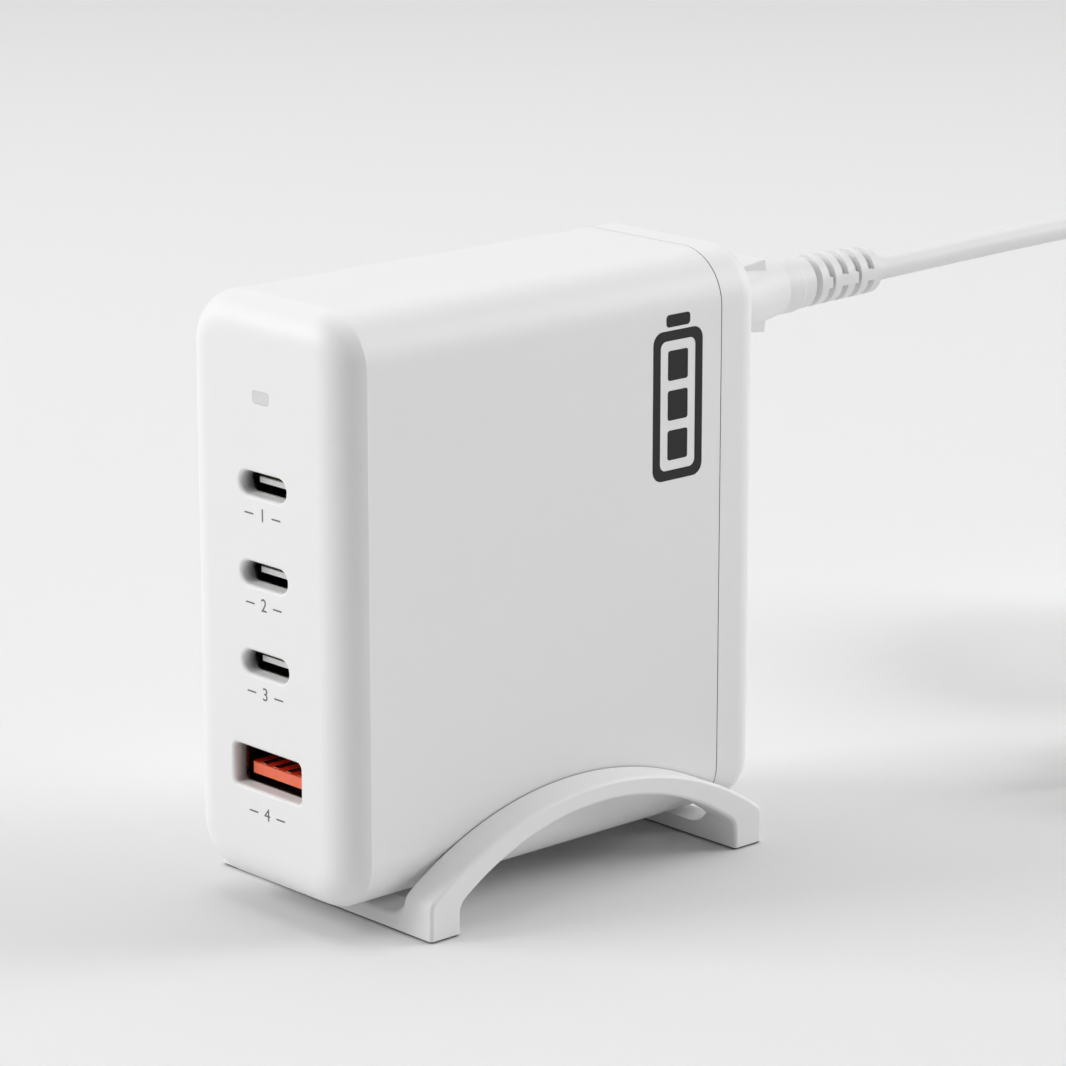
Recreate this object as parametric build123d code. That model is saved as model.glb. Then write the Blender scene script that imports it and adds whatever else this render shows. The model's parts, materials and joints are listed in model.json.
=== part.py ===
from build123d import *
import math
import os

# Four-port desktop charger that stands in an arched cradle, with its mains lead plugged in at the back.
# Millimetres, +Z up. The ports face -Y, and the origin lies on the table under the charger's middle.

# Charger case
charger_width = 30.8
charger_depth = 70.4
charger_height = 75.0
charger_lift = 3.3
edge_radius = 7.0
front_radius = 4.8
crease_offset = 0.1
rear_radius = 3.5
side_wall = 1.8
front_wall = 1.9
rear_wall = 1.8
cover_depth = 7.5
parting_gap = 0.15
lip_length = 3.0
lip_thickness = 1.2
lip_clearance = 0.05

# Ports, heights above the case's underside, and status light, below the case's top
usb_a_height = 15.8
usb_c_height = 29.5
usb_c_pitch = 11.35
usb_c_count = 3
light_drop = 11.8
usb_c_opening = (8.8, 3.0)
usb_a_opening = (13.0, 5.3)
usb_a_corner = 0.8
port_lip = 0.5
receptacle_length = 10.5
shell_wall = 0.3
shell_overlap = 0.15
usb_c_tongue = (6.9, 0.7)
usb_c_tongue_setback = 0.4
usb_c_tongue_length = 4.4
usb_c_contact = (0.3, 3.2)
usb_c_contact_pitch = 0.5
usb_c_contact_count = 12
usb_a_tongue = (11.2, 1.4)
usb_a_tongue_drop = 0.8
usb_a_tongue_setback = 0.2
usb_a_tongue_length = 7.6
usb_a_contact = (1.0, 6.4)
usb_a_contact_pitch = 2.4
usb_a_contact_count = 4
root_clearance = 0.02
contact_height = 0.05
contact_setback = 0.4
light_size = (3.1, 1.6)
light_corner = 0.45
light_clearance = 0.03
light_flange = 0.5
light_flange_depth = 0.8

# Circuit boards and what carries them
board_thickness = 1.6
port_board_thickness = 1.2
port_board_width = 24.0
board_margin = 5.0
board_rear_gap = 4.3
standoff_height = 2.0
standoff_radius = 2.0
standoff_inset = 6.0
sheet_thickness = 0.4
sheet_margin = 1.0
sheet_hole_clearance = 0.3

# Power stage, placed along the main board from its front edge and from its middle height
spreader_thickness = 0.8
spreader_gap = 0.2
spreader_size = (32.0, 46.0)
pad_thickness = 2.0
core_size = (22.0, 11.0)
core_leg = 7.0
core_yoke = 3.5
bobbin_wall = 0.4
bobbin_flange = 0.9
winding_gap = 0.1
transformer_at = (18.6, 2.0)
capacitor_radius = 6.0
capacitor_length = 20.0
capacitor_along = 36.2
capacitor_heights = (-5.2, 8.1)
can_chamfer = 0.4
crimp_depth = 0.5
crimp_width = 1.0
crimp_height = 1.5
switch_size = (0.9, 8.0, 8.0)
switch_at = (20.0, 2.0)

# Filter parts below the transformer, from the board's lower edge, and above it, from its top edge
choke_radii = (3.6, 7.0)
choke_length = 6.0
choke_wire = 0.9
choke_arc = 150.0
choke_at = (34.0, 7.8)
x_capacitor_size = (12.0, 13.0, 7.0)
x_capacitor_at = (18.5, 9.5)
y_capacitor_disc = (4.0, 3.0)
y_capacitor_at = (12.0, 16.5)
varistor_disc = (5.0, 3.4)
varistor_at = (30.0, 11.0)
disc_stand = 2.0
fuse_size = (7.6, 8.4, 4.0)
fuse_at = (11.5, 3.0)
rectifier_size = (10.5, 15.0, 3.4)
rectifier_at = (17.5, 6.5)
controller_size = (1.6, 6.0, 5.0)
controller_at = (10.5, 16.5)
block_radius = 0.4
wire_radius = 0.35

# Output stage on the back of the port board, heights above the board's lower edge
inductor_size = (7.0, 4.2, 7.0)
inductor_x = 4.0
inductor_heights = (17.0, 36.0)
output_can_radius = 3.15
output_can_length = 7.0
output_can_x = 6.0
output_can_heights = (10.0, 26.5, 44.5)
regulator_size = (5.0, 0.9, 5.0)
regulator_x = -5.0
regulator_heights = (17.0, 36.0, 51.0)

# Mains inlet, below the case's top, and the lead's connector
inlet_drop = 10.1
inlet_block = (18.0, 11.4)
inlet_length = 15.8
inlet_floor = 3.6
insert_size = (13.2, 6.8)
insert_clearance = 0.2
insert_depth = 13.0
pin_radius = 1.18
pin_pitch = 8.6
pin_length = 8.6
pin_tail = 3.0
pin_clearance = 0.02
inlet_lead_radius = 0.8
inlet_lead_bend = 2.5
inlet_lead_reaches = (3.0, 6.5)
socket_wall = 0.3
socket_clearance = 0.05
socket_length = 9.0
socket_recess = 1.0
seat_gap = 0.1
grip_stations = ((0.0, 15.0, 8.2), (8.0, 13.8, 7.9), (12.5, 10.8, 7.8), (17.0, 7.8, 7.7))
barrel_start = 14.5
barrel_end = 20.5
barrel_radii = (3.88, 3.8)
wedge_start = 3.0
wedge_end = 13.0
wedge_rake = 0.6
wedge_width = 7.0
wedge_heights = (3.8, 4.9)
rim_radius = 0.6
relief_length = 14.9
relief_radii = (3.6, 3.2)
relief_core = 2.4
relief_ring = 1.4
relief_pitch = 2.6
relief_slots = 5
bridged_slots = (2, 4)
bridge_width = 1.5

# Mains lead: a flat twin cord, its route, its coil and its plug
cord_width = 5.4
cord_thickness = 3.1
cord_level_run = 28.3
cord_route = [
    (-0.8, 124.0, 67.6),
    (-4.6, 141.0, 58.4),
    (-9.0, 151.5, 45.4),
    (-12.0, 160.2, 33.6),
    (-11.2, 172.4, 24.8),
]
bend_share = 0.45
coil_centre = (10.8, 152.2)
coil_inner_radius = 21.2
coil_outer_radius = 31.2
coil_height = 22.4
coil_corner = 1.5
tie_thickness = 0.7
tie_width = 9.0
tie_clearance = 0.1
tie_corner = 2.0
tie_angle = 40.0
tail_x = 40.3
tail_start_y = 138.0
tail_end_y = 132.0
plug_width = 24.0
plug_thickness = 11.5
plug_length = 24.0
plug_corner = 3.0
plug_shoulder = 13.0
plug_neck = (9.0, 7.6)
plug_relief_length = 11.0
plug_relief_radii = (3.6, 3.0)
blade_size = (1.5, 17.0, 6.3)
blade_pitch = 12.7
blade_root = 5.0
blade_clearance = 0.02

# Cradle
strap_gap = 0.15
strap_width = 4.9
cradle_length = 57.5
cradle_offset = 2.45
arch_height = 14.4
arch_radius = 48.0
arch_thickness = 2.5
under_radius = 39.5
leg_thickness = 4.9
outer_knee = 1.8
inner_knee = 2.4
strap_edge = 0.5
foot_edge = 0.3
bar_thickness = 2.2
bar_fillet = 3.5
bar_edge = 0.8
rest_width = 12.0
rest_inset = 1.0

# Places worked out from the sizes above
front_y = -charger_depth / 2
rear_y = charger_depth / 2
parting_y = rear_y - cover_depth
middle_z = charger_lift + charger_height / 2
top_z = charger_lift + charger_height
inner_half = charger_width / 2 - side_wall
light_z = top_z - light_drop
usb_a_z = charger_lift + usb_a_height
usb_c_heights = [charger_lift + usb_c_height + usb_c_pitch * n for n in reversed(range(usb_c_count))]
shell_y = front_y + front_wall
port_board_y = shell_y + receptacle_length
main_board_y = port_board_y + port_board_thickness
main_board_length = parting_y - lip_length - board_rear_gap - main_board_y
board_bottom = charger_lift + side_wall + board_margin
board_height = charger_height - 2 * (side_wall + board_margin)
board_back_x = -inner_half + standoff_height
board_face_x = board_back_x + board_thickness
spreader_x = inner_half - spreader_gap - spreader_thickness
transformer_top = spreader_x - pad_thickness
inlet_z = top_z - inlet_drop
inlet_rear_y = rear_y - rear_wall
inlet_front_y = inlet_rear_y - inlet_length
inlet_floor_y = inlet_front_y + inlet_floor
grip_y = rear_y + seat_gap
insert_y = rear_y - insert_depth
rim_y = grip_y + barrel_end
relief_end_y = rim_y + relief_length
strap_inner_x = charger_width / 2 + strap_gap
strap_outer_x = strap_inner_x + strap_width
cradle_end = cradle_length / 2
coil_base = tie_thickness + tie_clearance
plug_z = plug_thickness / 2
plug_back_y = tail_end_y - plug_relief_length
plug_face_y = plug_back_y - plug_length


# Solids drawn as an outline and extruded along one axis
def along_x(outline, x0, x1):
    plane = Plane(origin=(x0, 0, 0), x_dir=(0, 1, 0), z_dir=(1, 0, 0))
    return extrude(plane * outline, amount=x1 - x0)


def along_y(outline, y0, y1):
    plane = Plane(origin=(0, y1, 0), x_dir=(1, 0, 0), z_dir=(0, -1, 0))
    return extrude(plane * outline, amount=y1 - y0)


def case_outline(grow):
    outline = RectangleRounded(charger_width + 2 * grow, charger_height + 2 * grow, edge_radius + grow)
    return Pos(0, middle_z) * outline


# Places on the main board, from its front edge and its lower edge, middle height or top edge
def from_bottom(place):
    return main_board_y + place[0], board_bottom + place[1]


def from_middle(place):
    return main_board_y + place[0], board_bottom + board_height / 2 + place[1]


def from_top(place):
    return main_board_y + place[0], board_bottom + board_height - place[1]


def standoff_places():
    along = (standoff_inset, main_board_length - standoff_inset)
    up = (standoff_inset, board_height - standoff_inset)
    return [from_bottom((y, z)) for y in along for z in up]


# Case: a deep moulded shell, its front rounding cut slightly proud so that a crease runs round it
def make_housing():
    prism = along_y(case_outline(0), front_y, parting_y)
    nose = along_y(case_outline(crease_offset), front_y, rear_y)
    nose = fillet(nose.edges().group_by(Axis.Y)[0], front_radius)
    cavity = along_y(case_outline(-side_wall), shell_y, rear_y)
    cavity = fillet(cavity.edges().group_by(Axis.Y)[0], front_radius - side_wall)
    shell = (prism & nose) - cavity
    for y, z in standoff_places():
        shell += along_x(Pos(y, z) * Circle(standoff_radius), -inner_half - side_wall / 2, board_back_x)
    for z in usb_c_heights:
        shell -= along_y(Pos(0, z) * SlotOverall(*usb_c_opening), front_y, shell_y)
    shell -= along_y(Pos(0, usb_a_z) * RectangleRounded(*usb_a_opening, usb_a_corner), front_y, shell_y)
    face = shell.faces().filter_by(Axis.Y).sort_by(Axis.Y)[0]
    lips = [edge for wire in face.inner_wires() for edge in wire.edges()]
    shell = fillet(lips, port_lip)
    return shell - along_y(Pos(0, light_z) * RectangleRounded(*light_size, light_corner), front_y, shell_y)


# Rear cover: a shallow lid whose lip slides into the housing
def make_rear_cover():
    lid = along_y(case_outline(0), parting_y + parting_gap, rear_y)
    lid = fillet(lid.edges().group_by(Axis.Y)[-1], rear_radius)
    lip_grow = -side_wall - lip_clearance
    lip = along_y(case_outline(lip_grow), parting_y - lip_length, parting_y + parting_gap)
    hollow = along_y(case_outline(lip_grow - lip_thickness), parting_y - lip_length, rear_y - rear_wall)
    opening = SlotOverall(insert_size[0] + 2 * insert_clearance, insert_size[1] + 2 * insert_clearance)
    return lid + lip - hollow - along_y(Pos(0, inlet_z) * opening, rear_y - rear_wall, rear_y)


def make_light_pipe():
    width, height = light_size
    slack = 2 * light_clearance
    head = RectangleRounded(width - slack, height - slack, light_corner - light_clearance)
    flange = RectangleRounded(width + 2 * light_flange, height + 2 * light_flange, light_corner)
    pipe = along_y(Pos(0, light_z) * head, front_y, port_board_y)
    return pipe + along_y(Pos(0, light_z) * flange, shell_y, shell_y + light_flange_depth)


# Receptacles: a drawn metal shell round a moulded tongue with its contacts
def usb_c_outline(grow):
    return SlotOverall(usb_c_opening[0] + 2 * grow, usb_c_opening[1] + 2 * grow)


def usb_a_outline(grow):
    return RectangleRounded(usb_a_opening[0] + 2 * grow, usb_a_opening[1] + 2 * grow, usb_a_corner)


def make_shell(outline, z):
    ring = outline(shell_overlap) - outline(shell_overlap - shell_wall)
    return along_y(Pos(0, z) * ring, shell_y, port_board_y)


def make_tongue(outline, z, size, drop, setback, length):
    root = outline(shell_overlap - shell_wall - root_clearance)
    tip_y = shell_y + setback
    tongue = along_y(Pos(0, z - drop) * Rectangle(*size), tip_y, tip_y + length)
    tongue = fillet(tongue.edges().filter_by(Axis.Z).group_by(Axis.Y)[0], size[1] / 2)
    return tongue + along_y(Pos(0, z) * root, tip_y + length, port_board_y)


def make_contacts(z, tip_y, size, pitch, count):
    strips = []
    for n in range(count):
        x = pitch * (n - (count - 1) / 2)
        strip = Pos(x, z) * Rectangle(size[0], contact_height)
        strips.append(along_y(strip, tip_y + contact_setback, tip_y + contact_setback + size[1]))
    return strips


def make_usb_c(z):
    tip_y = shell_y + usb_c_tongue_setback
    offset_z = (usb_c_tongue[1] + contact_height) / 2
    layout = (tip_y, usb_c_contact, usb_c_contact_pitch, usb_c_contact_count)
    contacts = make_contacts(z + offset_z, *layout) + make_contacts(z - offset_z, *layout)
    tongue = make_tongue(usb_c_outline, z, usb_c_tongue, 0, usb_c_tongue_setback, usb_c_tongue_length)
    return make_shell(usb_c_outline, z), tongue, Part() + contacts


def make_usb_a():
    tip_y = shell_y + usb_a_tongue_setback
    top_z = usb_a_z - usb_a_tongue_drop + usb_a_tongue[1] / 2
    layout = (tip_y, usb_a_contact, usb_a_contact_pitch, usb_a_contact_count)
    contacts = make_contacts(top_z + contact_height / 2, *layout)
    tongue = make_tongue(
        usb_a_outline, usb_a_z, usb_a_tongue, usb_a_tongue_drop, usb_a_tongue_setback, usb_a_tongue_length
    )
    return make_shell(usb_a_outline, usb_a_z), tongue, Part() + contacts


# Boards, insulation and heat spreading
def make_port_board():
    board = Pos(0, board_bottom + board_height / 2) * Rectangle(port_board_width, board_height)
    return along_y(board, port_board_y, main_board_y)


def make_main_board():
    board = Pos(*from_middle((main_board_length / 2, 0))) * Rectangle(main_board_length, board_height)
    return along_x(board, board_back_x, board_face_x)


def make_insulating_sheet():
    middle = from_middle((main_board_length / 2, 0))
    sheet = Pos(*middle) * Rectangle(main_board_length, board_height - 2 * sheet_margin)
    for place in standoff_places():
        sheet -= Pos(*place) * Circle(standoff_radius + sheet_hole_clearance)
    return along_x(sheet, -inner_half, -inner_half + sheet_thickness)


def make_heat_spreader():
    plate = RectangleRounded(*spreader_size, core_yoke)
    return along_x(Pos(*from_middle(transformer_at)) * plate, spreader_x, spreader_x + spreader_thickness)


def make_thermal_pad():
    return along_x(Pos(*from_middle(transformer_at)) * Rectangle(*core_size), transformer_top, spreader_x)


# Transformer: a ferrite core of two windows round a wound bobbin
def make_transformer():
    y, z = from_middle(transformer_at)
    here = Pos(y, z)
    window = (core_size[0] - core_leg) / 2 - core_yoke
    low_x = board_face_x + core_yoke
    high_x = transformer_top - core_yoke
    core = along_x(here * Rectangle(*core_size), board_face_x, transformer_top)
    for side in (-1, 1):
        gap = Pos(y + side * (core_leg + window) / 2, z) * Rectangle(window, core_size[1])
        core -= along_x(gap, low_x, high_x)

    def ring(inner_grow, outer_grow):
        inner = Rectangle(core_leg + 2 * inner_grow, core_size[1] + 2 * inner_grow)
        outer = Rectangle(core_leg + 2 * outer_grow, core_size[1] + 2 * outer_grow)
        return here * (outer - inner)

    tube_grow = winding_gap + bobbin_wall
    wound_grow = window - winding_gap
    bobbin = along_x(ring(winding_gap, tube_grow), low_x + winding_gap, high_x - winding_gap)
    for x in (low_x + winding_gap, high_x - winding_gap - bobbin_flange):
        bobbin += along_x(ring(winding_gap, wound_grow), x, x + bobbin_flange)
    wound_x = (low_x + 2 * winding_gap + bobbin_flange, high_x - 2 * winding_gap - bobbin_flange)
    winding = along_x(ring(tube_grow + winding_gap, wound_grow - winding_gap), *wound_x)
    corners = winding.edges().filter_by(Axis.X).sort_by(lambda edge: abs(edge.center().Y - y))[-4:]
    return core, bobbin, fillet(corners, block_radius)


# Other parts on the main board
def make_can(radius, length):
    can = Cylinder(radius, length, align=(Align.CENTER, Align.CENTER, Align.MIN))
    can = chamfer(can.edges().filter_by(GeomType.CIRCLE), can_chamfer)
    crimp = Circle(radius) - Circle(radius - crimp_depth)
    return can - extrude(Pos(0, 0, crimp_height) * crimp, amount=crimp_width)


def make_bulk_capacitor(place):
    y, z = from_middle(place)
    return Pos(board_face_x, y, z) * Rot(0, 90, 0) * make_can(capacitor_radius, capacitor_length)


def make_choke():
    y, z = from_bottom(choke_at)
    centre = (board_face_x + choke_wire + choke_length / 2, y, z)
    middle = sum(choke_radii) / 2
    width = choke_radii[1] - choke_radii[0]
    plane = Plane(origin=centre, x_dir=(0, 1, 0), z_dir=(0, 0, 1))
    section = Pos(middle, 0) * Rectangle(width, choke_length)
    wound = Pos(middle, 0) * Rectangle(width + 2 * choke_wire, choke_length + 2 * choke_wire) - section
    axis = Axis(centre, (1, 0, 0))
    core = revolve(plane * section, axis)
    coil = revolve(plane * wound, axis, choke_arc)
    return core, Part() + [coil, coil.rotate(axis, 180)]


def make_block(size, place):
    block = along_x(Pos(*place) * Rectangle(size[1], size[2]), board_face_x, board_face_x + size[0])
    return fillet(block.edges().filter_by(Axis.X), block_radius)


def make_disc(disc, place):
    radius, thickness = disc
    y, z = place
    x = board_face_x + disc_stand + radius
    body = Pos(x, y, z) * Cylinder(radius, thickness)
    body = chamfer(body.edges().filter_by(GeomType.CIRCLE), can_chamfer)
    for side in (-1, 1):
        body += along_x(Pos(y + side * radius / 2, z) * Circle(wire_radius), board_face_x, x)
    return body


def make_power_switch():
    outline = Pos(*from_middle(switch_at)) * Rectangle(*switch_size[1:])
    return along_x(outline, board_back_x - switch_size[0], board_back_x)


# Output stage on the port board
def make_output_block(size, x, height):
    outline = Pos(x, board_bottom + height) * Rectangle(size[0], size[2])
    block = along_y(outline, main_board_y, main_board_y + size[1])
    return fillet(block.edges().filter_by(Axis.Y), block_radius)


def make_output_can(height):
    can = make_can(output_can_radius, output_can_length)
    return Pos(output_can_x, main_board_y, board_bottom + height) * Rot(-90, 0, 0) * can


# Mains inlet: a moulded socket with two round pins, wired to the main board
def make_inlet_body():
    block = Pos(0, inlet_z) * RectangleRounded(*inlet_block, block_radius)
    well = SlotOverall(insert_size[0] + 2 * insert_clearance, insert_size[1] + 2 * insert_clearance)
    body = along_y(block, inlet_front_y, inlet_rear_y)
    body -= along_y(Pos(0, inlet_z) * well, inlet_floor_y, inlet_rear_y)
    for side in (-1, 1):
        hole = Pos(side * pin_pitch / 2, inlet_z) * Circle(pin_radius + pin_clearance)
        body -= along_y(hole, inlet_front_y, inlet_floor_y)
    return body


def make_inlet_pins():
    pins = []
    for side in (-1, 1):
        circle = Pos(side * pin_pitch / 2, inlet_z) * Circle(pin_radius)
        pin = along_y(circle, inlet_front_y - pin_tail, inlet_floor_y + pin_length)
        pins.append(chamfer(pin.edges().group_by(Axis.Y)[-1], pin_radius / 2))
    return Part() + pins


def make_inlet_leads():
    leads = []
    for side, reach in zip((-1, 1), inlet_lead_reaches):
        start = Vector(side * pin_pitch / 2, inlet_front_y - pin_tail, inlet_z)
        corner = start - Vector(0, reach, 0)
        path = FilletPolyline(start, corner, (board_face_x, corner.Y, inlet_z), radius=inlet_lead_bend)
        leads.append(sweep(Plane(origin=start, z_dir=(0, -1, 0)) * Circle(inlet_lead_radius), path=path))
    return Part() + leads


# Strain relief: a tapered sleeve with slots all round, some of them bridged at the sides
def make_relief(centre, start_y, length, radii, core_radius):
    plane = Plane(origin=centre, x_dir=(0, 1, 0), z_dir=(1, 0, 0))
    axis = Axis(centre, (0, 1, 0))
    low = start_y - centre[1]
    high = low + length
    sleeve = make_face(Polyline((low, 0), (low, radii[0]), (high, radii[1]), (high, 0), close=True))
    relief = revolve(plane * sleeve, axis)
    slot_length = relief_pitch - relief_ring
    first = high - relief_slots * relief_pitch
    for n in range(relief_slots):
        slot_y = first + n * relief_pitch
        depth = radii[0] - core_radius
        band = Pos(slot_y + slot_length / 2, core_radius + depth / 2) * Rectangle(slot_length, depth)
        cutter = revolve(plane * band, axis)
        if n > 0:
            kept = slot_length if n in bridged_slots else slot_length / 2
            bridge = Box(4 * radii[0], kept, bridge_width, align=(Align.CENTER, Align.MIN, Align.CENTER))
            cutter -= Pos(centre[0], centre[1] + slot_y, centre[2]) * bridge
        relief -= cutter
    return relief


# Lead's connector: a tapering grip with finger wedges, an insert that fills the inlet, and the strain relief
def make_connector():
    insert = along_y(Pos(0, inlet_z) * SlotOverall(*insert_size), insert_y, grip_y)
    stations = []
    for reach, width, height in grip_stations:
        plane = Plane(origin=(0, grip_y + reach, inlet_z), x_dir=(1, 0, 0), z_dir=(0, -1, 0))
        stations.append(plane * SlotOverall(width, height))
    start_y = grip_y + barrel_start
    profile = make_face(Polyline(
        (start_y, 0),
        (start_y, barrel_radii[0]),
        (rim_y, barrel_radii[1]),
        (rim_y, 0),
        close=True,
    ))
    profile = fillet([v for v in profile.vertices() if v.X > start_y and v.Y > 0], rim_radius)
    plane = Plane(origin=(0, 0, inlet_z), x_dir=(0, 1, 0), z_dir=(1, 0, 0))
    grip = loft(stations) + revolve(plane * profile, Axis((0, 0, inlet_z), (0, 1, 0)))
    ends = (grip_y + wedge_start, grip_y + wedge_end)
    for side in (-1, 1):
        wedge = make_face(Polyline(
            (ends[0], inlet_z),
            (ends[0], inlet_z + side * wedge_heights[0]),
            (ends[1] - wedge_rake, inlet_z + side * wedge_heights[1]),
            (ends[1], inlet_z),
            close=True,
        ))
        grip += along_x(wedge, -wedge_width / 2, wedge_width / 2)
    relief_start = rim_y - rim_radius
    length = relief_end_y - relief_start
    body = insert + grip + make_relief((0, rim_y, inlet_z), relief_start, length, relief_radii, relief_core)
    for side in (-1, 1):
        bore = Pos(side * pin_pitch / 2, inlet_z) * Circle(socket_radius() + socket_clearance)
        body -= along_y(bore, insert_y, insert_y + socket_recess + socket_length)
    return body


def socket_radius():
    return pin_radius + socket_clearance + socket_wall


def make_sockets():
    sockets = []
    for side in (-1, 1):
        ring = Circle(socket_radius()) - Circle(pin_radius + socket_clearance)
        tube = Pos(side * pin_pitch / 2, inlet_z) * ring
        sockets.append(along_y(tube, insert_y + socket_recess, insert_y + socket_recess + socket_length))
    return Part() + sockets


# Lead: the stretch that hangs to the table, the coil of the rest, its tie, and the tail to the plug
def make_cord_run():
    start = Vector(0, relief_end_y, inlet_z)
    points = [start, start + Vector(0, cord_level_run, 0)] + [Vector(*point) for point in cord_route]
    runs = [after - before for before, after in zip(points, points[1:])]
    radii = []
    for before, after in zip(runs, runs[1:]):
        half_turn = math.radians(before.get_angle(after) / 2)
        radii.append(bend_share * min(before.length, after.length) / math.tan(half_turn))
    path = FilletPolyline(*points, radius=radii)
    section = Plane(origin=start, x_dir=(1, 0, 0), z_dir=runs[0]) * SlotOverall(cord_width, cord_thickness)
    run = sweep(section, path=path)
    print("cord bends", [round(radius, 1) for radius in radii], "length", round(path.length, 1))
    print("cord volume over section times length", round(run.volume / (section.area * path.length), 4))
    return run


def make_cord_coil():
    ring = Circle(coil_outer_radius) - Circle(coil_inner_radius)
    coil = extrude(Pos(*coil_centre, coil_base) * ring, amount=coil_height)
    return chamfer(coil.edges(), coil_corner)


def make_cord_tie():
    inner_reach = math.sqrt(coil_inner_radius**2 - (tie_width / 2) ** 2) - tie_clearance
    outer_reach = coil_outer_radius + tie_clearance
    width = outer_reach - inner_reach
    height = coil_height + 2 * tie_clearance
    middle = ((inner_reach + outer_reach) / 2, tie_thickness + height / 2)
    inside = RectangleRounded(width, height, tie_corner)
    outside = offset(inside, tie_thickness)
    band = along_y(Pos(*middle) * (outside - inside), -tie_width / 2, tie_width / 2)
    return Pos(*coil_centre, 0) * Rot(0, 0, tie_angle) * band


def make_cord_tail():
    section = Pos(tail_x, plug_z) * SlotOverall(cord_width, cord_thickness, rotation=90)
    return along_y(section, tail_end_y, tail_start_y)


# Mains plug: a tapering moulded body with its own relief, and two flat blades
def make_plug():
    stations = (
        (plug_face_y, plug_width, plug_thickness),
        (plug_face_y + plug_shoulder, plug_width, plug_thickness),
        (plug_back_y, *plug_neck),
    )
    sections = []
    for y, width, height in stations:
        plane = Plane(origin=(tail_x, y, plug_z), x_dir=(1, 0, 0), z_dir=(0, -1, 0))
        sections.append(plane * RectangleRounded(width, height, plug_corner))
    body = loft(sections[:2], ruled=True) + loft(sections[1:], ruled=True)
    centre = (tail_x, plug_back_y, plug_z)
    body += make_relief(centre, plug_back_y, plug_relief_length, plug_relief_radii, relief_core)
    for side in (-1, 1):
        slot = Rectangle(blade_size[0] + 2 * blade_clearance, blade_size[2] + 2 * blade_clearance)
        place = Pos(tail_x + side * blade_pitch / 2, plug_z)
        body -= along_y(place * slot, plug_face_y, plug_face_y + blade_root)
    return body


def make_blades():
    blades = []
    thickness, reach, height = blade_size
    for side in (-1, 1):
        outline = Pos(tail_x + side * blade_pitch / 2, plug_z) * Rectangle(thickness, height)
        blade = along_y(outline, plug_face_y - reach, plug_face_y + blade_root)
        blades.append(fillet(blade.edges().filter_by(Axis.X).group_by(Axis.Y)[0], thickness))
    return Part() + blades


# Cradle: two arched straps tied by low cross bars, with a raised rest on each bar
def arch_body():
    disc = Pos(0, arch_height - arch_radius) * Circle(arch_radius)
    body = disc & Pos(0, arch_height / 2) * Rectangle(cradle_length, arch_height)
    knees = [v for v in body.vertices() if v.Y > bar_thickness and abs(v.X) > cradle_end - leg_thickness]
    return fillet(knees, outer_knee)


def arch_gap():
    apex = arch_height - arch_thickness
    disc = Pos(0, apex - under_radius) * Circle(under_radius)
    gap = disc & Pos(0, apex / 2) * Rectangle(cradle_length - 2 * leg_thickness, apex)
    knees = [v for v in gap.vertices() if v.Y > bar_thickness]
    return fillet(knees, inner_knee)


def make_strap():
    strap = along_x(Pos(cradle_offset, 0) * (arch_body() - arch_gap()), strap_inner_x, strap_outer_x)
    rim = strap.faces().sort_by(Axis.X)[-1].edges() - strap.edges().group_by(Axis.Z)[0]
    return fillet(rim, strap_edge)


def make_cross_bar(side):
    height = bar_thickness + bar_fillet
    opening = Pos(0, bar_thickness + height) * RectangleRounded(2 * strap_inner_x, 2 * height, bar_fillet)
    outline = Pos(0, height / 2) * Rectangle(2 * strap_inner_x + strap_width, height) - opening
    end_y = cradle_offset + side * cradle_end
    inner_y = end_y - side * leg_thickness
    bar = along_y(outline, min(end_y, inner_y), max(end_y, inner_y))
    face = bar.faces().filter_by(Axis.Y).sort_by(lambda face: side * face.center().Y)[-1]
    inner_edges = face.edges().filter_by(lambda edge: abs(edge.center().X) < strap_inner_x)
    bar = fillet(inner_edges - face.edges().group_by(Axis.Z)[0], bar_edge)
    bar = bar & along_x(Pos(cradle_offset, 0) * arch_body(), -strap_outer_x, strap_outer_x)
    rest = Rectangle(rest_width, leg_thickness - 2 * rest_inset)
    middle = Pos(0, (end_y + inner_y) / 2, bar_thickness)
    return bar + extrude(middle * rest, amount=charger_lift - bar_thickness)


def make_cradle():
    strap = make_strap()
    cradle = strap + mirror(strap, about=Plane.YZ) + make_cross_bar(-1) + make_cross_bar(1)
    return chamfer(cradle.edges().group_by(Axis.Z)[0], foot_edge)


nodes = {
    "housing": make_housing(),
    "rear_cover": make_rear_cover(),
    "cradle": make_cradle(),
    "light_pipe": make_light_pipe(),
    "port_board": make_port_board(),
    "main_board": make_main_board(),
    "insulating_sheet": make_insulating_sheet(),
    "heat_spreader": make_heat_spreader(),
    "thermal_pad": make_thermal_pad(),
    "x_capacitor": make_block(x_capacitor_size, from_top(x_capacitor_at)),
    "y_capacitor": make_disc(y_capacitor_disc, from_bottom(y_capacitor_at)),
    "varistor": make_disc(varistor_disc, from_top(varistor_at)),
    "fuse": make_block(fuse_size, from_top(fuse_at)),
    "bridge_rectifier": make_block(rectifier_size, from_bottom(rectifier_at)),
    "power_switch": make_power_switch(),
    "controller_chip": make_block(controller_size, from_top(controller_at)),
    "inlet_body": make_inlet_body(),
    "inlet_pins": make_inlet_pins(),
    "inlet_leads": make_inlet_leads(),
    "cord_connector": make_connector(),
    "connector_sockets": make_sockets(),
    "cord_run": make_cord_run(),
    "cord_coil": make_cord_coil(),
    "cord_tie": make_cord_tie(),
    "cord_tail": make_cord_tail(),
    "mains_plug": make_plug(),
    "plug_blades": make_blades(),
}
nodes["transformer_core"], nodes["transformer_bobbin"], nodes["transformer_winding"] = make_transformer()
nodes["choke_core"], nodes["choke_winding"] = make_choke()
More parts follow.
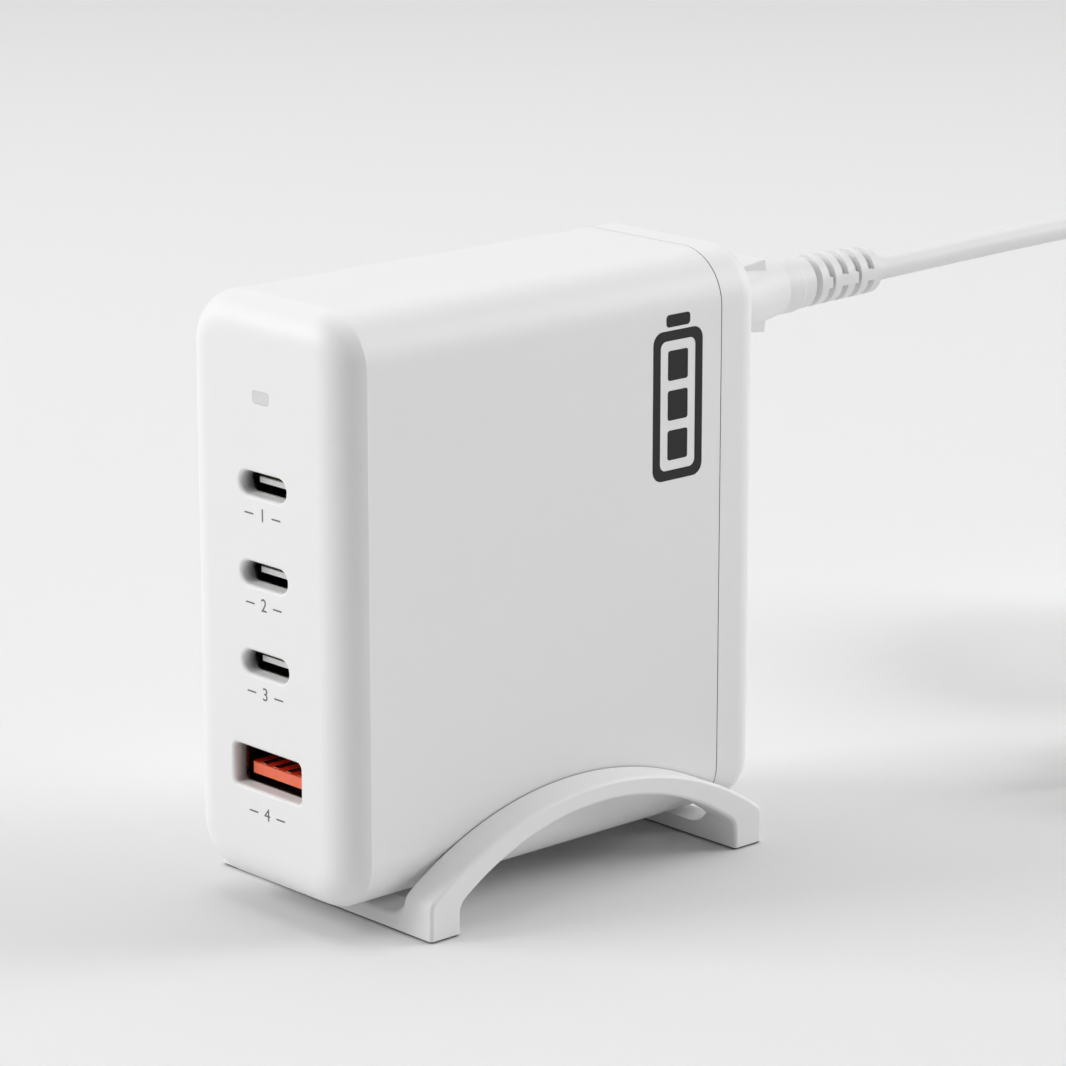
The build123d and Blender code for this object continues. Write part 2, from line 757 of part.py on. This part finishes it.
nodes["usb_a_shell"], nodes["usb_a_tongue"], nodes["usb_a_contacts"] = make_usb_a()
for n, z in enumerate(usb_c_heights, 1):
    nodes[f"usb_c_shell_{n}"], nodes[f"usb_c_tongue_{n}"], nodes[f"usb_c_contacts_{n}"] = make_usb_c(z)
for n, height in enumerate(capacitor_heights, 1):
    nodes[f"bulk_capacitor_{n}"] = make_bulk_capacitor((capacitor_along, height))
for n, height in enumerate(inductor_heights, 1):
    nodes[f"output_inductor_{n}"] = make_output_block(inductor_size, inductor_x, height)
for n, height in enumerate(output_can_heights, 1):
    nodes[f"output_capacitor_{n}"] = make_output_can(height)
for n, height in enumerate(regulator_heights, 1):
    nodes[f"regulator_{n}"] = make_output_block(regulator_size, regulator_x, height)

os.makedirs("parts", exist_ok=True)
for name, shape in nodes.items():
    export_step(shape, f"parts/{name}.step")
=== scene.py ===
import bpy
import bmesh
import json
import math
from mathutils import Matrix, Vector


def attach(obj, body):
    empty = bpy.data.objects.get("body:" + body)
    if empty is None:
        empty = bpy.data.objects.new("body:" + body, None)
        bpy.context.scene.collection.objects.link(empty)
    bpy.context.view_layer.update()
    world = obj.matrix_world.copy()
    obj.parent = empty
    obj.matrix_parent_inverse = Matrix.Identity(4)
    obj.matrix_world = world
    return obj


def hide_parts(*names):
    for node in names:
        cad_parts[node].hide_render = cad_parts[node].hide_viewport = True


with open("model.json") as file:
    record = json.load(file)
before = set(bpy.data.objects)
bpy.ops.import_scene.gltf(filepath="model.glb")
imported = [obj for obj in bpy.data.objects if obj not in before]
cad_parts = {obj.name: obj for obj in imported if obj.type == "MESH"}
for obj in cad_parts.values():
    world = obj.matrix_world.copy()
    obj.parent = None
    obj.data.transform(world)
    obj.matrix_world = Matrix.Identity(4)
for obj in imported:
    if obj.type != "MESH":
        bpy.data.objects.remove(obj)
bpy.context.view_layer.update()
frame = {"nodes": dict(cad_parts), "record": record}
nodes = frame["nodes"]
mm = 0.001
print("frame loaded,", len(nodes), "nodes")


# materials: small helpers first
def startMaterial(name):
    material = bpy.data.materials.new(name)
    material.use_nodes = True
    tree = material.node_tree
    return material, tree, tree.nodes["Principled BSDF"]


def addNode(tree, kind, settings=None, **values):
    node = tree.nodes.new(kind)
    for key, value in (settings or {}).items():
        setattr(node, key, value)
    for key, value in values.items():
        node.inputs[key].default_value = value
    return node


colourSocket, numberSocket, vectorSocket = "NodeSocketColor", "NodeSocketFloat", "NodeSocketVector"
colourMix = {"data_type": "RGBA"}
softStep = {"interpolation_type": "SMOOTHSTEP"}


def startGroup(name, inputs, outputs):
    group = bpy.data.node_groups.new(name, "ShaderNodeTree")
    for label, kind in inputs:
        group.interface.new_socket(name=label, in_out="INPUT", socket_type=kind)
    for label, kind in outputs:
        group.interface.new_socket(name=label, in_out="OUTPUT", socket_type=kind)
    return group, group.nodes.new("NodeGroupInput"), group.nodes.new("NodeGroupOutput")


# moulded skin: fine spark-eroded grain, slow flow marks in tone and gloss
def makeMouldedSkin():
    group, given, result = startGroup(
        "mouldedSkin",
        [("Tint", colourSocket), ("Shade", colourSocket),
         ("Gloss Low", numberSocket), ("Gloss High", numberSocket),
         ("Grain Size", numberSocket), ("Grain Depth", numberSocket), ("Flow Size", numberSocket)],
        [("Color", colourSocket), ("Roughness", numberSocket), ("Normal", vectorSocket)])
    place = addNode(group, "ShaderNodeTexCoord")
    flow = addNode(group, "ShaderNodeTexNoise", Detail=3.0, Roughness=0.55)
    grain = addNode(group, "ShaderNodeTexNoise", Detail=2.0, Roughness=0.6)
    blend = addNode(group, "ShaderNodeMix", colourMix)
    gloss = addNode(group, "ShaderNodeMapRange")
    bump = addNode(group, "ShaderNodeBump", Distance=0.02 * mm)
    link = group.links.new
    link(place.outputs["Object"], flow.inputs["Vector"])
    link(place.outputs["Object"], grain.inputs["Vector"])
    link(given.outputs["Flow Size"], flow.inputs["Scale"])
    link(given.outputs["Grain Size"], grain.inputs["Scale"])
    link(flow.outputs["Fac"], blend.inputs["Factor"])
    link(given.outputs["Tint"], blend.inputs["A"])
    link(given.outputs["Shade"], blend.inputs["B"])
    link(flow.outputs["Fac"], gloss.inputs["Value"])
    link(given.outputs["Gloss Low"], gloss.inputs["To Min"])
    link(given.outputs["Gloss High"], gloss.inputs["To Max"])
    link(grain.outputs["Fac"], bump.inputs["Height"])
    link(given.outputs["Grain Depth"], bump.inputs["Strength"])
    link(blend.outputs["Result"], result.inputs["Color"])
    link(gloss.outputs["Result"], result.inputs["Roughness"])
    link(bump.outputs["Normal"], result.inputs["Normal"])
    return group


depthInputs = [("Color", colourSocket), ("Deep", colourSocket),
               ("Front", numberSocket), ("Back", numberSocket)]


# painted shade: tone that falls off behind a front plane, as inside a port
def makePortShade():
    group, given, result = startGroup("portShade", depthInputs, [("Color", colourSocket)])
    place = addNode(group, "ShaderNodeTexCoord")
    spot = addNode(group, "ShaderNodeSeparateXYZ")
    depth = addNode(group, "ShaderNodeMapRange", softStep)
    blend = addNode(group, "ShaderNodeMix", colourMix)
    link = group.links.new
    link(place.outputs["Object"], spot.inputs["Vector"])
    link(spot.outputs["Y"], depth.inputs["Value"])
    link(given.outputs["Front"], depth.inputs["From Min"])
    link(given.outputs["Back"], depth.inputs["From Max"])
    link(depth.outputs["Result"], blend.inputs["Factor"])
    link(given.outputs["Color"], blend.inputs["A"])
    link(given.outputs["Deep"], blend.inputs["B"])
    link(blend.outputs["Result"], result.inputs["Color"])
    return group


# left walls of the ports, which face away from the light and darken inward
def makeWallShade():
    group, given, result = startGroup("wallShade", depthInputs, [("Color", colourSocket)])
    place = addNode(group, "ShaderNodeTexCoord")
    spot = addNode(group, "ShaderNodeSeparateXYZ")
    facing = addNode(group, "ShaderNodeSeparateXYZ")
    left = addNode(group, "ShaderNodeMath", {"operation": "LESS_THAN"})
    left.inputs[1].default_value = 0.0
    depth = addNode(group, "ShaderNodeMapRange", softStep)
    turned = addNode(group, "ShaderNodeMapRange", **{"From Min": 0.1, "From Max": 0.8})
    both = addNode(group, "ShaderNodeMath", {"operation": "MULTIPLY"})
    amount = addNode(group, "ShaderNodeMath", {"operation": "MULTIPLY"})
    blend = addNode(group, "ShaderNodeMix", colourMix)
    link = group.links.new
    link(place.outputs["Object"], spot.inputs["Vector"])
    link(place.outputs["Normal"], facing.inputs["Vector"])
    link(spot.outputs["X"], left.inputs[0])
    link(spot.outputs["Y"], depth.inputs["Value"])
    link(given.outputs["Front"], depth.inputs["From Min"])
    link(given.outputs["Back"], depth.inputs["From Max"])
    link(facing.outputs["X"], turned.inputs["Value"])
    link(left.outputs["Value"], both.inputs[0])
    link(turned.outputs["Result"], both.inputs[1])
    link(both.outputs["Value"], amount.inputs[0])
    link(depth.outputs["Result"], amount.inputs[1])
    link(amount.outputs["Value"], blend.inputs["Factor"])
    link(given.outputs["Color"], blend.inputs["A"])
    link(given.outputs["Deep"], blend.inputs["B"])
    link(blend.outputs["Result"], result.inputs["Color"])
    return group


# painted shade: darker tone where two surfaces lie close together, as in slots and along contact lines, taken
# from ambient occlusion
def makeCreviceShade():
    group, given, result = startGroup(
        "creviceShade", [("Color", colourSocket), ("Dark", colourSocket), ("Reach", numberSocket)],
        [("Color", colourSocket)])
    hollow = addNode(group, "ShaderNodeAmbientOcclusion", {"samples": 8})
    exposed = addNode(group, "ShaderNodeMapRange", softStep, **{"From Min": 0.2, "From Max": 0.7})
    blend = addNode(group, "ShaderNodeMix", colourMix)
    link = group.links.new
    link(given.outputs["Reach"], hollow.inputs["Distance"])
    link(hollow.outputs["AO"], exposed.inputs["Value"])
    link(exposed.outputs["Result"], blend.inputs["Factor"])
    link(given.outputs["Dark"], blend.inputs["A"])
    link(given.outputs["Color"], blend.inputs["B"])
    link(blend.outputs["Result"], result.inputs["Color"])
    return group


mouldedSkin = makeMouldedSkin()
portShade = makePortShade()
wallShade = makeWallShade()
creviceShade = makeCreviceShade()


def skinMaterial(name, look):
    material, tree, shader = startMaterial(name)
    link = tree.links.new
    skin = addNode(tree, "ShaderNodeGroup", {"node_tree": mouldedSkin}, **{
        "Tint": (*look["tint"], 1), "Shade": (*look["shade"], 1),
        "Gloss Low": look["gloss"][0], "Gloss High": look["gloss"][1],
        "Grain Size": look["grain"], "Grain Depth": look["depth"], "Flow Size": look["flow"]})
    colour = skin.outputs["Color"]
    # painted shade behind the port fronts, and on the ports' left walls where asked
    if "deep" in look:
        front, back = look["fade"]
        inward = wallShade if look.get("leftWalls") else portShade
        shade = addNode(tree, "ShaderNodeGroup", {"node_tree": inward},
                        Deep=(*look["deep"], 1), Front=front * mm, Back=back * mm)
        link(colour, shade.inputs["Color"])
        colour = shade.outputs["Color"]
    # painted shade in crevices and along contact lines
    if "paintedCreviceShade" in look:
        shade = addNode(tree, "ShaderNodeGroup", {"node_tree": creviceShade},
                        Dark=(*look["paintedCreviceShade"], 1), Reach=look["reach"] * mm)
        link(colour, shade.inputs["Color"])
        colour = shade.outputs["Color"]
    link(colour, shader.inputs["Base Color"])
    link(skin.outputs["Roughness"], shader.inputs["Roughness"])
    link(skin.outputs["Normal"], shader.inputs["Normal"])
    shader.inputs["Metallic"].default_value = look.get("metal", 0.0)
    shader.inputs["Specular IOR Level"].default_value = look.get("specular", 0.5)
    shader.inputs["Coat Weight"].default_value = look.get("coat", 0.0)
    shader.inputs["Coat Roughness"].default_value = 0.1
    return material


# one entry for each slot of the record, and two inks for the printed marks; fade and reach in mm. The dark
# colours that fade in behind the port fronts and those laid into crevices are painted shade.
finishes = {
    # painted shade on the ports' left walls and in the case's crevices
    "white_case": dict(tint=(0.885, 0.885, 0.883), shade=(0.86, 0.86, 0.858), gloss=(0.42, 0.5), grain=5200,
                       depth=0.25, flow=26, specular=0.45, paintedCreviceShade=(0.2, 0.2, 0.2), reach=0.4,
                       leftWalls=True, deep=(0.2, 0.2, 0.2), fade=(-34.9, -33.2)),
    # painted shadow along the cradle's floor contact line and where it meets the case
    "white_cradle": dict(tint=(0.885, 0.885, 0.883), shade=(0.86, 0.86, 0.858), gloss=(0.4, 0.5), grain=5200,
                         depth=0.25, flow=30, specular=0.45, paintedCreviceShade=(0.05, 0.05, 0.05), reach=0.7),
    # painted shade in the strain relief's slots
    "white_cord": dict(tint=(0.835, 0.835, 0.832), shade=(0.795, 0.797, 0.795), gloss=(0.42, 0.55),
                       grain=3200, depth=0.2, flow=45, specular=0.4, paintedCreviceShade=(0.6, 0.6, 0.6), reach=1.0),
    "white_tie": dict(tint=(0.78, 0.78, 0.77), shade=(0.72, 0.72, 0.71), gloss=(0.55, 0.7), grain=2400,
                      depth=0.6, flow=80, specular=0.3),
    "light_guide": dict(tint=(0.72, 0.725, 0.725), shade=(0.68, 0.685, 0.685), gloss=(0.28, 0.4), grain=3000,
                        depth=0.15, flow=400),
    # painted shade: the port shells and tongues darken behind their front edges
    "nickel_shell": dict(tint=(0.5, 0.49, 0.47), shade=(0.38, 0.37, 0.36), gloss=(0.2, 0.38), grain=4200,
                         depth=0.3, flow=900, metal=1.0, deep=(0.03, 0.03, 0.03), fade=(-33.3, -32.6)),
    "grey_insulator": dict(tint=(0.8, 0.8, 0.79), shade=(0.74, 0.74, 0.73), gloss=(0.35, 0.5), grain=3600,
                           depth=0.3, flow=600, deep=(0.012, 0.012, 0.012), fade=(-32.85, -32.4)),
    # painted shade: the orange tongue's top, behind its front face, turns a deeper red
    "orange_insulator": dict(tint=(0.92, 0.19, 0.09), shade=(0.86, 0.15, 0.07), gloss=(0.32, 0.48),
                             grain=3600, depth=0.3, flow=500, deep=(0.85, 0.03, 0.01), fade=(-33.05, -32.6)),
    "gold_contact": dict(tint=(0.86, 0.62, 0.26), shade=(0.78, 0.52, 0.2), gloss=(0.2, 0.32), grain=4000,
                         depth=0.2, flow=900, metal=1.0),
    "circuit_board": dict(tint=(0.018, 0.12, 0.05), shade=(0.012, 0.08, 0.035), gloss=(0.28, 0.45),
                          grain=1800, depth=0.4, flow=220, coat=0.3),
    "black_film": dict(tint=(0.025, 0.025, 0.027), shade=(0.015, 0.015, 0.016), gloss=(0.35, 0.5), grain=1500,
                       depth=0.3, flow=90),
    "aluminium_sheet": dict(tint=(0.8, 0.8, 0.81), shade=(0.68, 0.68, 0.69), gloss=(0.25, 0.4), grain=2600,
                            depth=0.4, flow=150, metal=1.0),
    "grey_pad": dict(tint=(0.32, 0.36, 0.44), shade=(0.26, 0.3, 0.37), gloss=(0.7, 0.85), grain=1700,
                     depth=0.6, flow=200),
    "ferrite": dict(tint=(0.035, 0.035, 0.038), shade=(0.06, 0.06, 0.062), gloss=(0.55, 0.75), grain=1500,
                    depth=0.9, flow=300),
    "black_bobbin": dict(tint=(0.02, 0.02, 0.02), shade=(0.03, 0.03, 0.03), gloss=(0.4, 0.55), grain=2600,
                         depth=0.3, flow=250),
    "yellow_tape": dict(tint=(0.82, 0.52, 0.05), shade=(0.7, 0.42, 0.035), gloss=(0.2, 0.35), grain=900,
                        depth=0.5, flow=260, coat=0.25),
    "black_sleeve": dict(tint=(0.02, 0.02, 0.024), shade=(0.03, 0.03, 0.036), gloss=(0.22, 0.36), grain=1200,
                         depth=0.3, flow=180, coat=0.2),
    "copper_wire": dict(tint=(0.8, 0.36, 0.16), shade=(0.6, 0.24, 0.1), gloss=(0.18, 0.32), grain=1100,
                        depth=0.9, flow=500, metal=1.0),
    "yellow_box": dict(tint=(0.8, 0.56, 0.08), shade=(0.72, 0.48, 0.06), gloss=(0.35, 0.5), grain=2200,
                       depth=0.3, flow=160),
    "blue_coating": dict(tint=(0.02, 0.06, 0.26), shade=(0.015, 0.045, 0.2), gloss=(0.25, 0.4), grain=900,
                         depth=0.6, flow=260),
    "black_epoxy": dict(tint=(0.018, 0.018, 0.019), shade=(0.028, 0.028, 0.03), gloss=(0.5, 0.68), grain=2800,
                        depth=0.6, flow=300),
    "silver_can": dict(tint=(0.74, 0.74, 0.74), shade=(0.6, 0.6, 0.61), gloss=(0.22, 0.36), grain=2600,
                       depth=0.3, flow=260, metal=1.0),
    "tinned_pin": dict(tint=(0.72, 0.7, 0.67), shade=(0.58, 0.57, 0.55), gloss=(0.18, 0.34), grain=2800,
                       depth=0.3, flow=600, metal=1.0),
    "black_inlet": dict(tint=(0.02, 0.02, 0.021), shade=(0.03, 0.03, 0.031), gloss=(0.4, 0.55), grain=2600,
                        depth=0.4, flow=180),
    "red_lead": dict(tint=(0.5, 0.03, 0.02), shade=(0.4, 0.02, 0.015), gloss=(0.4, 0.55), grain=2200,
                     depth=0.3, flow=300),
    "nickel_blade": dict(tint=(0.76, 0.74, 0.7), shade=(0.62, 0.6, 0.56), gloss=(0.16, 0.3), grain=3000,
                         depth=0.25, flow=180, metal=1.0),
    "print_grey": dict(tint=(0.15, 0.15, 0.155), shade=(0.12, 0.12, 0.125), gloss=(0.5, 0.6), grain=6000,
                       depth=0.1, flow=900),
    "print_black": dict(tint=(0.012, 0.012, 0.013), shade=(0.016, 0.016, 0.017), gloss=(0.45, 0.58),
                        grain=6000, depth=0.1, flow=300, specular=0.3),
}
materials = {name: skinMaterial(name, look) for name, look in finishes.items()}


def dressNodes():
    for part in frame["record"]["subparts"]:
        node = nodes[part["node"]]
        node.data.materials.clear()
        node.data.materials.append(materials[part["material_slot"]])


dressNodes()
print("materials given to every node")


# new pieces: a mesh at the origin that rides on the one body
def addObject(name, data):
    thing = bpy.data.objects.new(name, data)
    bpy.context.scene.collection.objects.link(thing)
    return thing


def addPiece(name, mesh, material):
    piece = addObject(name, mesh)
    mesh.materials.clear()
    mesh.materials.append(material)
    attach(piece, "root")
    return piece


def meshOf(curve):
    helper = addObject(curve.name, curve)
    bpy.context.view_layer.update()
    graph = bpy.context.evaluated_depsgraph_get()
    mesh = bpy.data.meshes.new_from_object(helper.evaluated_get(graph))
    bpy.data.objects.remove(helper)
    return mesh


def addOutline(curve, outline):
    spline = curve.splines.new("POLY")
    spline.points.add(len(outline) - 1)
    for point, (x, y) in zip(spline.points, outline):
        point.co = (x * mm, y * mm, 0, 1)
    spline.use_cyclic_u = True


# mains lead: one NURBS line from the strain relief to the plug, its route close to that in the part's source
lead = dict(
    width=5.4, thickness=3.1, groove=0.35, coreSweep=200, coreSteps=12, length=1.5,
    route=[(0, 70.7, 68.2), (0, 99, 68.9), (-0.8, 124, 68.8), (-4.6, 141, 58.8), (-12.2, 150.6, 45.1),
           (-16, 161.4, 33.6), (-10.9, 172.5, 24.9)],
    coilCentre=(10.8, 152.2), firstAngle=111, turns=8.31, pointsPerTurn=14, layers=4,
    outerRadius=29.4, innerRadius=22.9, topLevel=20.3, layerStep=5.55, stepShare=0.3, edgePoints=4,
    tail=[(40.3, 144, 4.6), (40.3, 138, 5.75), (40.3, 132, 5.75)],
    resolution=10,
)


# layers wound in and out in turn, each with a short level step to the next
def coilPoints():
    points = []
    steps = round(lead["turns"] * lead["pointsPerTurn"])
    x, y = lead["coilCentre"]
    for step in range(steps + 1):
        along = lead["layers"] * step / steps
        angle = math.radians(lead["firstAngle"] - 360 * lead["turns"] * step / steps)
        inward = 1 - abs(along % 2 - 1)
        radius = lead["outerRadius"] + (lead["innerRadius"] - lead["outerRadius"]) * inward
        drop = sum(min(max((along - layer) / lead["stepShare"] + 0.5, 0), 1)
                   for layer in range(1, lead["layers"]))
        level = lead["topLevel"] - lead["layerStep"] * drop
        points.append((x + radius * math.cos(angle), y + radius * math.sin(angle), level))
    return points


# flat on its way, turned on edge over the coil's first points
def leadLine(profile):
    route = lead["route"] + coilPoints() + lead["tail"]
    curve = bpy.data.curves.new("leadLine", "CURVE")
    curve.dimensions = "3D"
    curve.twist_mode = "Z_UP"
    curve.resolution_u = lead["resolution"]
    spline = curve.splines.new("NURBS")
    spline.points.add(len(route) - 1)
    flat = len(lead["route"]) - 2
    for n, (point, place) in enumerate(zip(spline.points, route)):
        point.co = (*[c * mm for c in place], 1)
        turned = min(max((n - flat) / lead["edgePoints"], 0), 1)
        point.tilt = math.radians(90) * turned
    spline.order_u = 3
    spline.use_endpoint_u = True
    if profile:
        curve.bevel_mode = "OBJECT"
        curve.bevel_object = profile
        curve.use_fill_caps = True
    return meshOf(curve)


# flat twin section: two round cores side by side with a shallow waist
def leadProfile():
    half, core = lead["width"] / 2, lead["thickness"] / 2
    waist = core - lead["groove"]
    sweep, steps = lead["coreSweep"], lead["coreSteps"]
    outline = []
    for side in (1, -1):
        for step in range(steps + 1):
            turn = math.radians(-sweep / 2 + sweep * step / steps)
            outline.append((side * (half - core + core * math.cos(turn)), side * core * math.sin(turn)))
        outline.append((0, side * waist))
    curve = bpy.data.curves.new("leadProfile", "CURVE")
    curve.dimensions = "2D"
    addOutline(curve, outline)
    return addObject("leadProfile", curve)


def makeLead():
    profile = leadProfile()
    tube = leadLine(profile)
    bpy.data.objects.remove(profile)
    line = leadLine(None)
    path = [tuple(v.co) for v in line.vertices]
    for face in tube.polygons:
        face.use_smooth = True
    piece = addPiece("mainsLead", tube, materials["white_cord"])
    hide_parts("cord_run", "cord_coil", "cord_tail")
    length = sum((Vector(b) - Vector(a)).length for a, b in zip(path, path[1:]))
    print("lead length", round(length, 4))


makeLead()


# printed marks: plain numbers below the ports, a battery with its charge bars on the side
marks = dict(
    rise=0.02, portFace=-35.2, sideFace=15.4, cornerSteps=6,
    numbers=[("1", 51.8), ("2", 40.45), ("3", 29.1), ("4", 13.6)], numberSize=2.35,
    dashes=[-2.6, 2.6], dashSize=(1.7, 0.2), dashCorner=0.08,
)
battery = dict(
    middle=(20.05, 59.8), size=(8.7, 19.4), stroke=1.3, corner=1.6,
    cap=(4.2, 1.6), capGap=0.45, capCorner=0.5, bars=3, gap=1.3, barCorner=0.35,
)
ontoFront = Matrix(((1, 0, 0, 0), (0, 0, -1, marks["portFace"] * mm), (0, 1, 0, 0), (0, 0, 0, 1)))
ontoSide = Matrix(((0, 0, 1, marks["sideFace"] * mm), (1, 0, 0, 0), (0, 1, 0, 0), (0, 0, 0, 1)))


def roundedOutline(middle, size, corner):
    points = []
    for n, (side, rise) in enumerate(((1, 1), (-1, 1), (-1, -1), (1, -1))):
        x = middle[0] + side * (size[0] / 2 - corner)
        y = middle[1] + rise * (size[1] / 2 - corner)
        for step in range(marks["cornerSteps"] + 1):
            turn = math.radians(90 * n + 90 * step / marks["cornerSteps"])
            points.append((x + corner * math.cos(turn), y + corner * math.sin(turn)))
    return points


# flat print of some outlines, a second outline inside the first being a hole
def printOutlines(outlines):
    curve = bpy.data.curves.new("print", "CURVE")
    curve.dimensions = "2D"
    curve.fill_mode = "BOTH"
    curve.extrude = marks["rise"] * mm
    for outline in outlines:
        addOutline(curve, outline)
    return curve


def printNumber(text):
    curve = bpy.data.curves.new("number", "FONT")
    curve.body = text
    curve.size = marks["numberSize"] * mm
    curve.align_x = "CENTER"
    curve.align_y = "CENTER"
    curve.extrude = marks["rise"] * mm
    return curve


def addMark(name, curve, ink, place):
    mesh = meshOf(curve)
    mesh.transform(place)
    addPiece(name, mesh, materials[ink])


def makeNumbers():
    for text, z in marks["numbers"]:
        place = ontoFront @ Matrix.Translation((0, z * mm, 0))
        addMark("portNumber" + text, printNumber(text), "print_grey", place)
        dashes = [roundedOutline((x, 0), marks["dashSize"], marks["dashCorner"]) for x in marks["dashes"]]
        addMark("portDashes" + text, printOutlines(dashes), "print_grey", place)


def makeBattery():
    y, z = battery["middle"]
    width, height = battery["size"]
    stroke, gap, bars = battery["stroke"], battery["gap"], battery["bars"]
    inside = (width - 2 * stroke, height - 2 * stroke)
    capMiddle = (y, z + height / 2 + battery["cap"][1] / 2 + battery["capGap"])
    outlines = [
        roundedOutline((y, z), (width, height), battery["corner"]),
        roundedOutline((y, z), inside, battery["corner"] - stroke / 2),
        roundedOutline(capMiddle, battery["cap"], battery["capCorner"]),
    ]
    barSize = (inside[0] - 2 * gap, (inside[1] - gap * (bars + 1)) / bars)
    for n in range(bars):
        middle = z - inside[1] / 2 + gap + barSize[1] / 2 + n * (barSize[1] + gap)
        outlines.append(roundedOutline((y, middle), barSize, battery["barCorner"]))
    addMark("chargeMark", printOutlines(outlines), "print_black", ontoSide)


makeNumbers()
makeBattery()
print("marks printed")


# stage: pale floor, soft boxes, the photograph's camera
stage = dict(
    floorSize=6.0, floorColour=(0.775, 0.777, 0.775), floorRoughness=0.9, floorSpecular=0.1,
    worldColour=(1, 1, 1), worldStrength=0.177, lampAim=(0, 0, 0.04),
    camera=(392.67, -350.14, 181.49), target=(15.846, -5.2, 47.491), lens=144.41, sensor=36.0, clipStart=0.01,
)
lamps = [
    dict(name="keyBox", place=(-1.3, -1.7, 1.3), size=1.2, power=30.9),
    dict(name="frontBox", place=(-0.25, -1.0, 0.45), size=0.6, power=1.15),
    dict(name="leftBox", place=(-2.0, -0.7, 0.6), size=1.0, power=5.3),
    dict(name="rightBox", place=(1.2, 1.7, 1.0), size=1.0, power=13.0),
    dict(name="rightLowBox", place=(0.9, 1.9, 0.85), size=1.2, power=14.8),
    dict(name="topBox", place=(0.05, 0.1, 1.1), size=0.9, power=3.8),
    dict(name="leftTopBox", place=(-0.7, 0.2, 0.9), size=0.9, power=2.08),
    dict(name="backBox", place=(-0.6, 1.9, 2.0), size=2.0, power=6.15),
]


def makeFloor():
    shape = bmesh.new()
    bmesh.ops.create_grid(shape, x_segments=1, y_segments=1, size=stage["floorSize"] / 2)
    mesh = bpy.data.meshes.new("floor")
    shape.to_mesh(mesh)
    shape.free()
    material, tree, shader = startMaterial("floorPaper")
    shader.inputs["Base Color"].default_value = (*stage["floorColour"], 1)
    shader.inputs["Roughness"].default_value = stage["floorRoughness"]
    shader.inputs["Specular IOR Level"].default_value = stage["floorSpecular"]
    mesh.materials.append(material)
    floor = addObject("floor", mesh)


def pointAt(thing, target):
    aim = target - thing.location
    thing.rotation_euler = aim.to_track_quat("-Z", "Y").to_euler()


def makeLamps():
    for lamp in lamps:
        light = bpy.data.lights.new(lamp["name"], "AREA")
        light.size = lamp["size"]
        light.energy = lamp["power"]
        box = addObject(lamp["name"], light)
        box.location = lamp["place"]
        pointAt(box, Vector(stage["lampAim"]))
    world = bpy.data.worlds.new("studio")
    world.use_nodes = True
    background = world.node_tree.nodes["Background"]
    background.inputs["Color"].default_value = (*stage["worldColour"], 1)
    background.inputs["Strength"].default_value = stage["worldStrength"]
    bpy.context.scene.world = world


def makeCamera():
    camera = bpy.data.cameras.new("photoCamera")
    camera.lens = stage["lens"]
    camera.sensor_width = stage["sensor"]
    camera.clip_start = stage["clipStart"]
    holder = addObject("photoCamera", camera)
    holder.location = Vector(stage["camera"]) * mm
    pointAt(holder, Vector(stage["target"]) * mm)
    bpy.context.scene.camera = holder


makeFloor()
makeLamps()
makeCamera()
bpy.context.scene.view_settings.view_transform = "Standard"
print("stage set")
